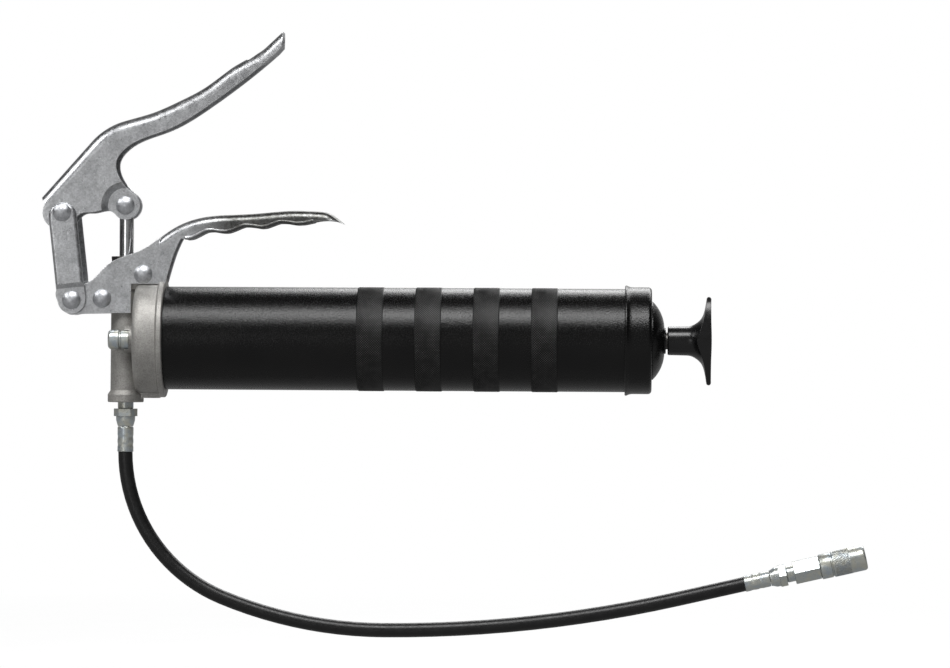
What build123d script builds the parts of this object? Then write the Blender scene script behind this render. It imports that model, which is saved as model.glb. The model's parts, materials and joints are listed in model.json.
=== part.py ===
from build123d import *
import os
from math import asin, cos, degrees, hypot, radians, sin, sqrt

# Lever-action grease gun, in millimetres.
# +X runs along the barrel from the head to the T handle, +Z runs up the pump column to the
# lever, and the origin is where the barrel axis meets the pump axis. Lever open, rod pushed in.

# ---------------------------------------------------------------- driving dimensions
barrel_r = 57.15 / 2  # 2 1/4 in tube
barrel_wall = 0.95
barrel_end_x = 288.5
thread_r = 28.10  # the tube's screwed end, drawn as a plain cylinder
thread_start_x = 11.0
thread_end_x = 22.6
thread_gap = 0.08
band_r = barrel_r + 0.3  # knurled bands stand a little proud
band_width = 14.7
band_pitch = 32.1
band_count = 4
first_band_x = 129.3

cup_left_x = 5.7
cup_floor_x = 9.5
cup_rim_x = 18.6
cup_right_x = 22.3
cup_r = 31.1
rim_r = 33.0
gasket_thickness = thread_start_x - cup_floor_x

column_r = 8.3
column_top_z = 41.0
flange_r = 10.0
flange_top_z = -31.5
outlet_z = -35.8

plunger_r = 3.95
pump_bore_r = 4.02
pump_bore_bottom_z = -17.6
plunger_bottom_z = 3.0
seat_r = 2.25
seat_bottom_z = -19.6
valve_chamber_r = 3.7
outlet_thread_r = 4.4
outlet_thread_top_z = -29.2
packing_bore_r = 6.5
packing_bottom_z = 5.0
packing_top_z = 9.0
spring_floor_z = 10.2
collar_bottom_z = 34.9
collar_top_z = 36.4
clip_top_z = 37.2
clip_r = 5.6
clip_groove_depth = 0.7
gland_stem_z = 37.4
gland_top_z = 45.2
port_r = 2.5

lever_pivot = (-34.6, 69.3)  # A, lever on link
plunger_pivot = (0.0, 73.4)  # B, lever on plunger
link_pivot = (-29.2, 20.7)  # C, link on grip
grip_rivet_places = [(-12.5, 21.7), (10.3, 35.2)]

sheet = 2.0  # stamping thickness
grip_half = 10.5
link_low_half = 12.7  # outer half width at the grip
link_high_half = 14.7  # outer half width at the lever
lever_half = 12.5
lever_bend_r = 6.0
grip_bend_r = 4.6
boss_half = 9.0  # outer half width of the dished boss on the plunger pivot

rivet_r = 2.95
rivet_hole_r = 3.0
head_r = 5.1
head_height = 2.5
open_pin_r = 2.8
open_pin_gap = 1.05  # clearance of the pivot where the linkage is opened
crosshead_r = 7.0
crosshead_half = 6.8

cap_lip_x = 277.2
cap_body_x = 282.0
cap_face_x = 292.1
cap_lip_r = 30.55
cap_r = 29.6
dome_r = 21.65
hub_r = 7.3
hub_x = 299.3
rod_r = 4.75
rod_shoulder_x = 21.7
rod_stud_r = 3.15
rod_end_x = 312.0
handle_x = 300.9
handle_neck_r = 7.9
handle_reach = 24.5  # half the T handle's height
handle_half_width = 10.3
handle_face_x = 325.0

follower_r = 27.5
follower_face_x = 17.0
cup_seal_x = 20.0
seal_lip_x = 28.0
long_spring_end_x = 288.0

hose_r = 4.0
hose_bore_r = 2.1
head_hex_across = 11.4
hose_top_z = -50.0
ferrule_r = 4.6
ferrule_end_z = -63.3
hose_end = (344.3, -134.4)  # where the hose enters the far ferrule, X and Z
hose_angle = 13.0  # rise of the hose's straight end, degrees
hose_tail = 13.0  # length of hose inside the far ferrule
hose_bends = [(87.0, 67.826), (238.74, 22.181), (725.055, 12.993)]  # radius and turn in degrees
coupler_ferrule_end = 14.5  # distances along the coupler axis from hose_end
coupler_neck_end = 19.7
coupler_hex_end = 23.6
coupler_thread_end = 34.0
body_start = 28.2
body_hex_end = 42.4
spigot_end = 51.0
sleeve_start = 42.7
sleeve_end = 68.6
sleeve_r = 7.15
spigot_r = 5.5
jaw_start = 52.4
jaw_taper = 62.5
jaw_end = 67.6
jaw_grip_start = 58.0
jaw_grip_r = 3.35  # closed on a standard grease nipple
jaw_slot = 0.8

filler_y = -15.0
filler_z = -1.0
filler_r = 5.35
filler_left_x = -8.2
filler_seat_x = 3.1
filler_boss_x = 0.7

os.makedirs("parts", exist_ok=True)


def save(part, name):
    """Labels one finished piece and writes it to its own file."""
    part.label = name
    export_step(part, f"parts/{name}.step")


def spot(point):
    """A point of the XZ drawing plane as (x, z), with y = 0."""
    return (point[0], 0, point[1])


def plane_along_y(point, y):
    """A drawing plane at the XZ point, facing +Y, at height y."""
    return Plane(origin=(point[0], y, point[1]), x_dir=(1, 0, 0), z_dir=(0, 1, 0))


def long_edges(part, curves, half_width):
    """The edges at both side faces that run along curves drawn in the local XZ sketch."""
    found = []
    for edge in part.edges():
        middle = edge @ 0.5
        flat_point = Vector(middle.X, middle.Z, 0)
        on_side = abs(abs(middle.Y) - half_width) < 0.01
        if on_side and any(curve.distance_to(flat_point) < 0.05 for curve in curves):
            found.append(edge)
    return found


def inside_curve(curve, distance, count=7):
    """A spline at the given distance to the right of a curve in a sketch."""
    points = []
    for step in range(count + 1):
        along = step / count
        place = curve @ along
        heading = curve % along
        points.append((place.X + heading.Y * distance, place.Y - heading.X * distance))
    first = curve % 0
    last = curve % 1
    return Spline(*points, tangents=[(first.X, first.Y), (last.X, last.Y)])


def bent_block(crest, depth, half_width, bend_r, start_reach, floor):
    """A block under a crest line, lowered by depth, with its two long top edges rounded.

    The crest runs on straight past both ends, and the floor points close the side outline.
    """
    with BuildPart() as block:
        with BuildSketch(Plane.XZ):
            with BuildLine():
                roof = inside_curve(crest, depth)
                first = roof @ 0 - (roof % 0) * start_reach
                last = roof @ 1 + (roof % 1) * 6
                Line(first, roof @ 0)
                Line(roof @ 1, last)
                Polyline(last, *floor, first)
            make_face()
        extrude(amount=half_width, both=True)
        fillet(long_edges(block.part, [roof], half_width), radius=bend_r)
    return block.part


def rivet(point, seat_half, shank_r):
    """A through rivet along Y with a low dome at each end, seated at the given half width."""
    # drawn with the radius along +X and the length along Y
    side_view = Plane(origin=spot(point), x_dir=(1, 0, 0), z_dir=(0, 0, 1))
    rim = seat_half + 0.4
    crown = seat_half + head_height
    rise = crown - rim
    dome_radius = (head_r**2 + rise**2) / (2 * rise)
    half_angle = asin(head_r / dome_radius) / 2
    shoulder = (dome_radius * sin(half_angle), crown - dome_radius * (1 - cos(half_angle)))
    with BuildPart() as body:
        with BuildSketch(side_view):
            with BuildLine():
                Line((0, crown), (0, -crown))
                ThreePointArc((0, -crown), (shoulder[0], -shoulder[1]), (head_r, -rim))
                Polyline(
                    (head_r, -rim),
                    (head_r, -seat_half),
                    (shank_r, -seat_half),
                    (shank_r, seat_half),
                    (head_r, seat_half),
                    (head_r, rim),
                )
                ThreePointArc((head_r, rim), shoulder, (0, crown))
            make_face()
        revolve(axis=Axis(spot(point), (0, 1, 0)))
    return body.part


def ring(plane, outer_r, inner_r, height):
    """A plain ring that rises from a plane."""
    with BuildPart() as body:
        with BuildSketch(plane):
            Circle(outer_r)
            Circle(inner_r, mode=Mode.SUBTRACT)
        extrude(amount=height)
    return body.part


def coil(plane, mean_r, wire_r, height, turns):
    """A round-wire coil spring that rises from a plane, its wire centre starting on it."""
    with BuildPart() as body:
        with BuildLine() as path:
            Helix(
                pitch=height / turns,
                height=height,
                radius=mean_r,
                center=plane.origin,
                direction=plane.z_dir,
            )
        with BuildSketch(Plane(origin=path.line @ 0, z_dir=path.line % 0)):
            Circle(wire_r)
        sweep(is_frenet=True)
    return body.part


# ---------------------------------------------------------------- head casting
def make_head():
    with BuildPart() as head:
        # cup that holds the barrel
        with BuildSketch(Plane.XZ):
            with BuildLine():
                Polyline(
                    (cup_left_x, 0),
                    (cup_left_x, cup_r),
                    (cup_rim_x, cup_r),
                    (cup_rim_x + 1.2, rim_r),
                    (cup_right_x, rim_r),
                    (cup_right_x, 0),
                    close=True,
                )
            make_face()
        revolve(axis=Axis.X)
        outer_edge = head.edges().filter_by(GeomType.CIRCLE).sort_by(Axis.X)[0]
        fillet(outer_edge, radius=4.0)
        rim_edges = head.edges().filter_by(GeomType.CIRCLE).sort_by(Axis.X)[-1]
        fillet(rim_edges, radius=0.7)

        # pump column and outlet flange
        with BuildSketch(Plane.XY.offset(outlet_z)):
            Circle(column_r + 0.25)
        extrude(amount=column_top_z - outlet_z, taper=0.2)
        with BuildSketch(Plane.XZ):
            with BuildLine():
                Polyline(
                    (0, outlet_z),
                    (flange_r - 0.4, outlet_z),
                    (flange_r, outlet_z + 0.4),
                    (flange_r, flange_top_z),
                    (column_r, flange_top_z + 2.6),
                    (0, flange_top_z + 2.6),
                    close=True,
                )
            make_face()
        revolve(axis=Axis.Z)

        # rib under the cup, from the outlet flange to the rim
        with BuildSketch(Plane.XZ):
            with BuildLine():
                Polyline(
                    (0, -33.4),
                    (cup_right_x - 3.5, -33.4),
                    (cup_right_x - 0.4, -31.0),
                    (cup_right_x - 0.4, -29.5),
                    (0, -29.5),
                    close=True,
                )
            make_face()
        extrude(amount=4.5, both=True)

        # lugs between the grip plates, one at each grip rivet
        with BuildSketch(Plane.XZ):
            with BuildLine():
                Polyline(
                    (0, 15.5),
                    (-16.5, 15.5),
                    (-18.5, 17.5),
                    (-18.5, 26.5),
                    (-15.5, 29.5),
                    (0, 29.5),
                    close=True,
                )
            make_face()
            with BuildLine():
                Polyline((0, 27.0), (16.5, 27.0), (16.5, 38.0), (13.5, 40.8), (0, 40.8), close=True)
            make_face()
        extrude(amount=grip_half - sheet - 0.2, both=True)

        # boss for the filler fitting, with its spot face
        with BuildSketch(Plane.YZ.offset(filler_boss_x)):
            with Locations((filler_y + 3.5, filler_z)):
                Circle(7.5)
        extrude(amount=cup_floor_x - 2.0 - filler_boss_x)
        with BuildSketch(Plane.YZ.offset(filler_boss_x)):
            with Locations((filler_y, filler_z)):
                Circle(filler_r + 0.2)
        extrude(amount=filler_seat_x - filler_boss_x, mode=Mode.SUBTRACT)

        # flats where the grip plates stand on the cup
        for side in (1, -1):
            with BuildSketch(Plane.XY.offset(29.7)):
                with Locations((14, side * (grip_half - sheet / 2))):
                    Rectangle(20, sheet + 0.5)
            extrude(amount=5, mode=Mode.SUBTRACT)

        # barrel socket
        with BuildSketch(Plane.YZ.offset(cup_floor_x)):
            Circle(thread_r + thread_gap)
        extrude(amount=20, mode=Mode.SUBTRACT)

        # pump: spring and packing bore, cylinder, valve seat, valve chamber, outlet thread
        bores = [
            (packing_bottom_z, column_top_z, packing_bore_r),
            (pump_bore_bottom_z, packing_bottom_z, pump_bore_r),
            (seat_bottom_z, pump_bore_bottom_z, seat_r),
            (outlet_thread_top_z, seat_bottom_z, valve_chamber_r),
            (outlet_z, outlet_thread_top_z, outlet_thread_r),
        ]
        for low_z, high_z, radius in bores:
            with BuildSketch(Plane.XY.offset(low_z)):
                Circle(radius)
            extrude(amount=high_z - low_z, mode=Mode.SUBTRACT)

        # grease port from the barrel, and the filler port
        with BuildSketch(Plane.YZ):
            Circle(port_r)
            with Locations((filler_y, filler_z)):
                Circle(port_r)
        extrude(amount=cup_floor_x + 1, mode=Mode.SUBTRACT)
        with BuildSketch(Plane.YZ.offset(filler_seat_x)):
            with Locations((filler_y, filler_z)):
                Circle(3.3)
        extrude(amount=4.0, mode=Mode.SUBTRACT)

        # rivet holes
        for place in grip_rivet_places:
            with BuildSketch(plane_along_y(place, 0)):
                Circle(rivet_hole_r)
            extrude(amount=grip_half, both=True, mode=Mode.SUBTRACT)
    save(head.part, "head_casting")


# ---------------------------------------------------------------- pump
def make_gland_nut():
    with BuildPart() as nut:
        with BuildSketch(Plane.XY.offset(column_top_z)):
            RegularPolygon(radius=8.3, side_count=6)
        extrude(amount=gland_top_z - column_top_z)
        with BuildSketch(Plane.XY.offset(column_top_z)):
            Circle(7.9)
        extrude(amount=gland_top_z - column_top_z, taper=-8, mode=Mode.INTERSECT)
        with BuildSketch(Plane.XY.offset(gland_stem_z)):
            Circle(packing_bore_r - 0.02)
        extrude(amount=column_top_z - gland_stem_z)
        with BuildSketch(Plane.XY.offset(gland_stem_z)):
            Circle(plunger_r + 0.08)
        extrude(amount=gland_top_z - gland_stem_z, mode=Mode.SUBTRACT)
    save(nut.part, "gland_nut")


def make_plunger():
    with BuildPart() as plunger:
        with BuildSketch(Plane.XY.offset(plunger_bottom_z)):
            Circle(plunger_r)
        extrude(amount=plunger_pivot[1] - crosshead_r / 2 - plunger_bottom_z)
        chamfer(plunger.edges().sort_by(Axis.Z)[0], length=0.4)
        with BuildSketch(plane_along_y(plunger_pivot, 0)):
            Circle(crosshead_r)
        extrude(amount=crosshead_half, both=True)
        with BuildSketch(plane_along_y(plunger_pivot, 0)):
            Circle(open_pin_r + open_pin_gap)
        extrude(amount=crosshead_half, both=True, mode=Mode.SUBTRACT)
        # groove for the collar's clip
        with BuildSketch(Plane.XY.offset(collar_top_z)):
            Circle(plunger_r + 1)
            Circle(plunger_r - clip_groove_depth, mode=Mode.SUBTRACT)
        extrude(amount=clip_top_z - collar_top_z, mode=Mode.SUBTRACT)
    save(plunger.part, "plunger")


def make_pump_small_parts():
    packing_height = packing_top_z - packing_bottom_z
    seal = ring(Plane.XY.offset(packing_bottom_z), packing_bore_r, plunger_r, packing_height)
    save(seal, "plunger_seal")

    washer_height = spring_floor_z - packing_top_z
    washer = ring(Plane.XY.offset(packing_top_z), packing_bore_r - 0.1, plunger_r + 0.2, washer_height)
    save(washer, "spring_washer")

    collar_height = collar_top_z - collar_bottom_z
    collar = ring(Plane.XY.offset(collar_bottom_z), packing_bore_r - 0.2, plunger_r, collar_height)
    save(collar, "spring_collar")

    clip_height = clip_top_z - collar_top_z
    clip = ring(Plane.XY.offset(collar_top_z), clip_r, plunger_r - clip_groove_depth, clip_height)
    save(clip, "collar_clip")

    wire_r = 0.6
    spring_height = collar_bottom_z - spring_floor_z - 2 * wire_r
    save(coil(Plane.XY.offset(spring_floor_z + wire_r), 5.3, wire_r, spring_height, 7), "return_spring")


def make_outlet_valve():
    ball_r = 2.75
    ball_z = seat_bottom_z - sqrt(ball_r**2 - seat_r**2)
    with BuildPart() as ball:
        with Locations((0, 0, ball_z)):
            Sphere(ball_r)
    save(ball.part, "check_ball")
    wire_r = 0.3
    mean_r = 2.3
    stem_top_z = outlet_thread_top_z - 0.2
    top_z = ball_z - sqrt((ball_r + wire_r) ** 2 - mean_r**2) - 0.05
    start_z = stem_top_z + wire_r
    save(coil(Plane.XY.offset(start_z), mean_r, wire_r, top_z - start_z, 5), "check_spring")


# ---------------------------------------------------------------- filler fitting
def make_filler():
    axis_line = Axis((0, filler_y, filler_z), (1, 0, 0))
    middle = Plane(origin=(0, filler_y, filler_z), x_dir=(1, 0, 0), z_dir=(0, -1, 0))
    with BuildPart() as fitting:
        with BuildSketch(middle):
            with BuildLine():
                Polyline(
                    (filler_left_x, 1.2),
                    (filler_left_x, filler_r - 1.0),
                    (filler_left_x + 1.0, filler_r),
                    (-2.4, filler_r),
                    (-2.0, filler_r - 0.9),
                    (-1.2, filler_r - 0.9),
                    (-0.8, filler_r - 0.2),
                    (filler_seat_x, filler_r - 0.2),
                    (filler_seat_x, 3.25),
                    (filler_seat_x + 3.8, 3.25),
                    (filler_seat_x + 3.8, 1.9),
                    (-5.2, 1.9),
                    (-5.9, 1.2),
                    close=True,
                )
            make_face()
        revolve(axis=axis_line)
    save(fitting.part, "filler_fitting")
    ball_r = 1.6
    ball_x = -5.2 - 0.35 + sqrt(ball_r**2 - 1.2**2) + 0.05
    with BuildPart() as ball:
        with Locations((ball_x, filler_y, filler_z)):
            Sphere(ball_r)
    save(ball.part, "filler_ball")
    wire_r = 0.25
    mean_r = 1.4
    start_x = ball_x + sqrt((ball_r + wire_r) ** 2 - mean_r**2) + 0.05
    spring_plane = Plane(origin=(start_x, filler_y, filler_z), x_dir=(0, 1, 0), z_dir=(1, 0, 0))
    save(coil(spring_plane, mean_r, wire_r, filler_seat_x + 3.4 - start_x, 6), "filler_spring")


# ---------------------------------------------------------------- grip
grip_web_start = (19.2, 55.4)  # the web begins here, clear of the gland nut
grip_tip = (121.5, 63.4)


def grip_crest(mode=Mode.ADD):
    """The line along the top of the grip's handle, where the web is bent."""
    return Spline(
        grip_web_start,
        (28.1, 61.5),
        (38.0, 65.7),
        (67.9, 68.8),
        (103.2, 70.9),
        (112.1, 70.0),
        grip_tip,
        tangents=[(0.78, 0.62), (0.75, -0.66)],
        mode=mode,
    )


def make_grip():
    ear_r = 8.2
    cx, cz = link_pivot

    floor = [(110, 20), (20, 20)]
    crest = grip_crest(Mode.PRIVATE)
    outside = bent_block(crest, 0, grip_half, grip_bend_r, 6, floor)
    inside = bent_block(crest, sheet, grip_half - sheet, grip_bend_r - sheet, 6, floor)
    web_x, web_z = grip_web_start

    with BuildPart() as grip:
        with BuildSketch(Plane.XZ):
            with BuildLine():
                Spline(
                    (cx, cz + ear_r),
                    (-19.5, 30.9),
                    (-9.5, 40.4),
                    (3.7, 46.5),
                    grip_web_start,
                    tangents=[(1, 0), (0.78, 0.62)],
                )
                grip_crest()
                # finger scallops
                Spline(
                    grip_tip,
                    (105.5, 64.9),
                    (95.5, 63.3),
                    (85.6, 64.1),
                    (76.7, 61.3),
                    (66.5, 62.1),
                    (56.0, 58.6),
                    (45.8, 59.2),
                    (37.5, 55.4),
                    (31.1, 55.2),
                )
                Spline((31.1, 55.2), (28.6, 50.0), (25.4, 41.0), (22.3, 29.9))
                Polyline((22.3, 29.9), (3.6, 29.9), (3.6, 13.8), (-24.0, 13.2))
                Spline(
                    (-24.0, 13.2),
                    (cx, cz - ear_r),
                    (cx - ear_r, cz),
                    (cx, cz + ear_r),
                    tangents=[(-1, 0), (1, 0)],
                )
            make_face()
        extrude(amount=grip_half, both=True)
        # bends along the crest, right of the web's start
        with BuildSketch(Plane.XZ, mode=Mode.PRIVATE) as handle_side:
            with Locations((web_x + 60, web_z)):
                Rectangle(120, 60)
        handle_zone = extrude(handle_side.sketch, amount=grip_half + 2, both=True, mode=Mode.PRIVATE)
        add(handle_zone - outside, mode=Mode.SUBTRACT)
        add(inside, mode=Mode.SUBTRACT)
        # no web between the plates where they straddle the pump column
        with BuildSketch(Plane.XZ):
            with BuildLine():
                Polyline(
                    (web_x - 1.2, web_z + 3),
                    (web_x + 1.2, web_z - 2),
                    (web_x + 4, 20),
                    (web_x + 4, 0),
                    (-60, 0),
                    (-60, web_z + 3),
                    close=True,
                )
            make_face()
        extrude(amount=grip_half - sheet, both=True, mode=Mode.SUBTRACT)
        for place in [*grip_rivet_places, link_pivot]:
            with BuildSketch(plane_along_y(place, 0)):
                Circle(rivet_hole_r)
            extrude(amount=grip_half + 1, both=True, mode=Mode.SUBTRACT)
    save(grip.part, "grip")


def make_rivets():
    grip_pair = [rivet(place, grip_half, rivet_r) for place in grip_rivet_places]
    save(Compound(children=grip_pair), "grip_rivets")
    save(rivet(link_pivot, link_low_half, rivet_r), "link_lower_pin")
    save(rivet(lever_pivot, link_high_half, rivet_r), "link_upper_pin")
    save(rivet(plunger_pivot, boss_half, open_pin_r), "plunger_pin")


# ---------------------------------------------------------------- link
def make_link():
    cx, cz = link_pivot
    dx = lever_pivot[0] - cx
    dz = lever_pivot[1] - cz
    length = sqrt(dx**2 + dz**2)
    along = (dx / length, 0, dz / length)
    face_plane = Plane(origin=spot(link_pivot), x_dir=along, z_dir=(0, -1, 0))  # local y to the left
    # local x up the link, local y along +Y, so that the joggle is a plain profile
    joggle_plane = Plane(origin=spot(link_pivot), x_dir=along, z_dir=face_plane.y_dir * -1)
    half_width = 7.8
    top = length + 5.4
    low_inner = link_low_half - sheet
    high_inner = link_high_half - sheet
    web_bottom = 12.0
    web_top = 39.0

    with BuildPart() as link:
        # two joggled plates
        with BuildSketch(joggle_plane):
            with BuildLine():
                Polyline(
                    (-12, low_inner),
                    (7.6, low_inner),
                    (10.2, high_inner),
                    (top + 2, high_inner),
                    (top + 2, link_high_half),
                    (9.4, link_high_half),
                    (6.8, link_low_half),
                    (-12, link_low_half),
                    close=True,
                )
            make_face()
            mirror(about=Plane.XZ)
        extrude(amount=half_width, both=True)
        # web on the side away from the pump
        with BuildSketch(face_plane):
            with Locations(((web_bottom + web_top) / 2, half_width - sheet / 2)):
                Rectangle(web_top - web_bottom, sheet)
        extrude(amount=high_inner + sheet / 2, both=True)
        # rounded ends
        with BuildSketch(face_plane):
            with Locations((top - half_width, 0)):
                Circle(half_width)
            Circle(half_width - 0.2)
            with Locations(((top - half_width) / 2, 0)):
                Rectangle(top - half_width, 2 * half_width)
        extrude(amount=link_high_half, both=True, mode=Mode.INTERSECT)
        # bends between web and plates
        bend_edges = []
        for edge in link.edges().filter_by(Axis((0, 0, 0), along)):
            middle = face_plane.to_local_coords(edge @ 0.5)
            if middle.Y > half_width - 0.1 and abs(abs(middle.Z) - link_high_half) < 0.1:
                if web_bottom < middle.X < web_top:
                    bend_edges.append(edge)
        fillet(bend_edges, radius=1.9)
        for place in (link_pivot, lever_pivot):
            with BuildSketch(plane_along_y(place, 0)):
                Circle(rivet_hole_r)
            extrude(amount=link_high_half + 1, both=True, mode=Mode.SUBTRACT)
    save(link.part, "link")


# ---------------------------------------------------------------- lever
lever_web_foot = (-46.4, 77.4)
lever_shoulder = (-18.7, 108.9)
lever_tip = (87.0, 170.1)
lever_web_slope = (0.663, 0.749)


def lever_crest(mode=Mode.ADD):
    """The curved part of the lever's back, from its shoulder to the tip."""
    return Spline(
        lever_shoulder,
        (-10.9, 116.0),
        (-1.4, 119.8),
        (13.6, 124.3),
        (31.0, 131.9),
        (48.5, 142.0),
        (66.3, 155.1),
        lever_tip,
        tangents=[lever_web_slope, (0.74, 0.67)],
        mode=mode,
    )


def lever_outline():
    """The lever's whole side outline."""
    bx, bz = plunger_pivot
    boss_r = 7.9
    Line(lever_web_foot, lever_shoulder)
    lever_crest()
    low_tip = (84.0, 158.6)
    Polyline(lever_tip, (86.6, 161.6), low_tip)
    neck_angle = 54.0  # where the throat meets the round boss, degrees
    neck = (bx + boss_r * cos(radians(neck_angle)), bz + boss_r * sin(radians(neck_angle)))
    Spline(
        low_tip,
        (72.4, 148.6),
        (44.8, 127.8),
        (22.7, 115.0),
        (1.0, 105.4),
        (-4.9, 97.0),
        (-3.6, 89.6),
        neck,
        tangents=[(-0.74, -0.67), (0.809, -0.588)],
    )
    foot_angle = -105.0
    foot = (bx + boss_r * cos(radians(foot_angle)), bz + boss_r * sin(radians(foot_angle)))
    ThreePointArc(neck, (bx + boss_r, bz), foot)
    ear_centre = (-36.3, 69.2)
    ear_r = 9.2
    ear_start = (ear_centre[0] + ear_r * cos(radians(-25)), ear_centre[1] + ear_r * sin(radians(-25)))
    ear_end = (ear_centre[0] + ear_r * cos(radians(152)), ear_centre[1] + ear_r * sin(radians(152)))
    Spline(
        foot,
        (-6.2, 69.0),
        (-11.5, 70.6),
        (-18.2, 69.3),
        ear_start,
        tangents=[(-0.966, 0.259), (-0.6, -0.8)],
    )
    ThreePointArc(ear_start, (ear_centre[0], ear_centre[1] - ear_r), ear_end)
    Line(ear_end, lever_web_foot)


def make_lever():
    floor = [(110, 100), (40, 20), (-60, 20)]
    crest = lever_crest(Mode.PRIVATE)
    outside = bent_block(crest, 0, lever_half, lever_bend_r, 60, floor)
    inside = bent_block(crest, sheet, lever_half - sheet, lever_bend_r - sheet, 60, floor)

    # dished boss on each flange, at the plunger pivot: the dish outside and its metal inside
    with BuildPart() as dish_metal:
        for side in (1, -1):
            face = Plane(origin=(plunger_pivot[0], side * (lever_half - sheet), plunger_pivot[1]),
                         x_dir=(1, 0, 0), z_dir=(0, -side, 0))
            with BuildSketch(face):
                Circle(12.4)
            extrude(amount=lever_half - boss_half, taper=45)
        with BuildSketch(Plane.XZ):
            with BuildLine():
                lever_outline()
            make_face()
        extrude(amount=lever_half, both=True, mode=Mode.INTERSECT)
    with BuildPart() as dish:
        for side in (1, -1):
            face = Plane(origin=(plunger_pivot[0], side * lever_half, plunger_pivot[1]),
                         x_dir=(1, 0, 0), z_dir=(0, -side, 0))
            with BuildSketch(face):
                Circle(13.0)
            extrude(amount=lever_half - boss_half, taper=45)

    with BuildPart() as lever:
        with BuildSketch(Plane.XZ):
            with BuildLine():
                lever_outline()
            make_face()
        extrude(amount=lever_half, both=True)
        add(outside, mode=Mode.INTERSECT)
        add(inside, mode=Mode.SUBTRACT)
        add(dish_metal.part)
        add(dish.part, mode=Mode.SUBTRACT)
        with BuildSketch(plane_along_y(lever_pivot, 0)):
            Circle(rivet_hole_r)
        extrude(amount=lever_half + 1, both=True, mode=Mode.SUBTRACT)
        with BuildSketch(plane_along_y(plunger_pivot, 0)):
            Circle(open_pin_r)
        extrude(amount=lever_half + 1, both=True, mode=Mode.SUBTRACT)
    save(lever.part, "lever")


# ---------------------------------------------------------------- barrel, cap and rod
def revolved_along_x(points):
    """A solid turned about the barrel axis from (x, radius) points."""
    with BuildPart() as body:
        with BuildSketch(Plane.XZ):
            with BuildLine():
                Polyline(*points, close=True)
            make_face()
        revolve(axis=Axis.X)
    return body.part


def make_barrel():
    bore_r = barrel_r - barrel_wall
    with BuildPart() as tube:
        with BuildSketch(Plane.YZ.offset(thread_end_x)):
            Circle(barrel_r)
        extrude(amount=barrel_end_x - thread_end_x)
        with BuildSketch(Plane.YZ.offset(thread_start_x)):
            Circle(thread_r)
        extrude(amount=thread_end_x - thread_start_x)
        for band in range(band_count):
            with BuildSketch(Plane.YZ.offset(first_band_x + band * band_pitch)):
                Circle(band_r)
            extrude(amount=band_width)
        with BuildSketch(Plane.YZ.offset(thread_start_x)):
            Circle(bore_r)
        extrude(amount=barrel_end_x - thread_start_x, mode=Mode.SUBTRACT)
    save(tube.part, "barrel_tube")
    save(ring(Plane.YZ.offset(cup_floor_x), thread_r, 24.5, gasket_thickness), "barrel_gasket")


def make_end_cap():
    wall = 1.6
    with BuildPart() as cap:
        with BuildSketch(Plane.XZ):
            with BuildLine():
                face_in_r = dome_r + 4.6
                Polyline(
                    (cap_lip_x, barrel_r + 0.03),
                    (cap_lip_x, cap_lip_r - 0.4),
                    (cap_lip_x + 0.4, cap_lip_r),
                    (cap_lip_x + 1.0, cap_lip_r),
                )
                # the lip flares out of the cap's side
                ThreePointArc(
                    (cap_lip_x + 1.0, cap_lip_r),
                    (cap_lip_x + 2.6, cap_r + 0.25),
                    (cap_body_x, cap_r),
                )
                Line((cap_body_x, cap_r), (cap_face_x - 2, cap_r))
                ThreePointArc(
                    (cap_face_x - 2, cap_r),
                    (cap_face_x - 0.59, cap_r - 0.59),
                    (cap_face_x, cap_r - 2),
                )
                Polyline(
                    (cap_face_x, cap_r - 2),
                    (cap_face_x, face_in_r),
                    (cap_face_x - 0.9, face_in_r - 0.9),
                    (cap_face_x - 0.9, dome_r),
                    (cap_face_x + 0.6, dome_r),
                )
                ThreePointArc(
                    (cap_face_x + 0.6, dome_r),
                    (cap_face_x + 4.9, 15.6),
                    (cap_face_x + 7.0, hub_r),
                )
                Polyline(
                    (cap_face_x + 7.0, hub_r),
                    (cap_face_x + 7.0, 6.2),
                    (cap_face_x + 7.0 - wall, 6.2),
                    (cap_face_x + 3.4, 15.0),
                    (cap_face_x - 1.0, dome_r - wall),
                    (cap_face_x - 0.9 - wall, dome_r),
                    (cap_face_x - 0.9 - wall, face_in_r),
                    (cap_face_x - wall, face_in_r + 1.5),
                    (barrel_end_x + 0.2, barrel_r + 0.03),
                    (cap_lip_x, barrel_r + 0.03),
                )
            make_face()
        revolve(axis=Axis.X)
    save(cap.part, "end_cap")
    bore_r = rod_r + 0.06
    hub_face = cap_face_x + 7.0
    save(revolved_along_x([
        (hub_face - 4.0, bore_r),
        (hub_face - 4.0, 6.15),
        (hub_face, 6.15),
        (hub_face, hub_r),
        (hub_face + 0.8, hub_r - 0.3),
        (hub_face + 0.8, bore_r),
    ]), "rod_bushing")


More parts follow.
